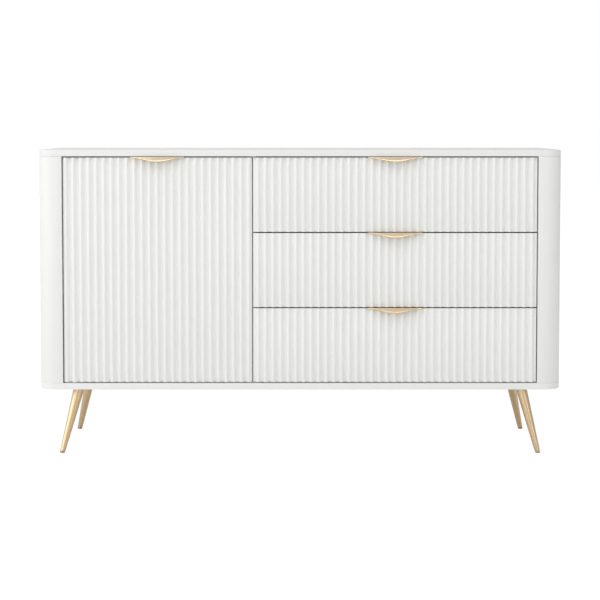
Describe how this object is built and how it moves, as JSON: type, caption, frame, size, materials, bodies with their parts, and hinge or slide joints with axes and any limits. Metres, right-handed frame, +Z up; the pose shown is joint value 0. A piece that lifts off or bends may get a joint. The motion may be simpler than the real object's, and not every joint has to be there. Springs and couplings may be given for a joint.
{
  "type": "sideboard buffet",
  "caption": "Low white storage cabinet with a fluted hinged door beside stacked fluted drawers, rounded front corners, crescent edge pulls and splayed tapered gold legs.",
  "frame": {"origin": "on the floor, under the centre of the bounding box", "axes": "+Z up, +X to the right seen from the front, the front faces -Y"},
  "size_m": [1.5, 0.414, 0.875],
  "materials": {
    "carcass_lacquer": "satin white lacquer on fibreboard",
    "fluted_lacquer": "satin white lacquer on fluted fibreboard",
    "inner_board": "matt white melamine",
    "drawer_board": "matt white melamine",
    "back_board": "painted hardboard",
    "pull_metal": "satin champagne gold",
    "leg_metal": "brushed champagne gold",
    "runner_steel": "zinc plated",
    "bright_steel": "nickel plated",
    "nylon": "moulded nylon",
    "catch_plastic": "moulded, with a magnet inside"
  },
  "bodies": {
    "carcass": {"top_panel": "carcass_lacquer", "bottom_panel": "carcass_lacquer", "left_side_panel": "carcass_lacquer", "right_side_panel": "carcass_lacquer", "left_corner_post": "carcass_lacquer", "right_corner_post": "carcass_lacquer", "runner_wall": "inner_board", "centre_divider": "carcass_lacquer", "back_panel": "back_board", "shelf": "inner_board", "shelf_pin_front_left": "bright_steel", "shelf_pin_back_left": "bright_steel", "shelf_pin_front_right": "bright_steel", "shelf_pin_back_right": "bright_steel", "front_left_leg": "leg_metal", "front_right_leg": "leg_metal", "back_left_leg": "leg_metal", "back_right_leg": "leg_metal", "front_left_glide": "nylon", "front_right_glide": "nylon", "back_left_glide": "nylon", "back_right_glide": "nylon", "upper_hinge_pin": "bright_steel", "lower_hinge_pin": "bright_steel", "door_catch": "catch_plastic", "bottom_drawer_cabinet_runner_left": "runner_steel", "bottom_drawer_cabinet_runner_right": "runner_steel", "middle_drawer_cabinet_runner_left": "runner_steel", "middle_drawer_cabinet_runner_right": "runner_steel", "top_drawer_cabinet_runner_left": "runner_steel", "top_drawer_cabinet_runner_right": "runner_steel"},
    "door": {"door_panel": "fluted_lacquer", "door_pull": "pull_metal", "upper_hinge_bush": "nylon", "lower_hinge_bush": "nylon", "strike_plate": "bright_steel"},
    "bottom_drawer": {"bottom_drawer_front": "fluted_lacquer", "bottom_drawer_pull": "pull_metal", "bottom_drawer_side_left": "drawer_board", "bottom_drawer_side_right": "drawer_board", "bottom_drawer_back": "drawer_board", "bottom_drawer_bottom": "back_board", "bottom_drawer_box_runner_left": "runner_steel", "bottom_drawer_box_runner_right": "runner_steel"},
    "middle_drawer": {"middle_drawer_front": "fluted_lacquer", "middle_drawer_pull": "pull_metal", "middle_drawer_side_left": "drawer_board", "middle_drawer_side_right": "drawer_board", "middle_drawer_back": "drawer_board", "middle_drawer_bottom": "back_board", "middle_drawer_box_runner_left": "runner_steel", "middle_drawer_box_runner_right": "runner_steel"},
    "top_drawer": {"top_drawer_front": "fluted_lacquer", "top_drawer_pull": "pull_metal", "top_drawer_side_left": "drawer_board", "top_drawer_side_right": "drawer_board", "top_drawer_back": "drawer_board", "top_drawer_bottom": "back_board", "top_drawer_box_runner_left": "runner_steel", "top_drawer_box_runner_right": "runner_steel"}
  },
  "joints": [
    {"name": "door_swing", "type": "hinge", "parent": "carcass", "child": "door", "pos_m": [-0.64686, -0.181, 0.53], "axis": [0, 0, -1], "range_deg": [0, 110]},
    {"name": "bottom_drawer_slide", "type": "slide", "parent": "carcass", "child": "bottom_drawer", "axis": [0, -1, 0], "range_m": [0, 0.26]},
    {"name": "middle_drawer_slide", "type": "slide", "parent": "carcass", "child": "middle_drawer", "axis": [0, -1, 0], "range_m": [0, 0.26]},
    {"name": "top_drawer_slide", "type": "slide", "parent": "carcass", "child": "top_drawer", "axis": [0, -1, 0], "range_m": [0, 0.26]}
  ]
}
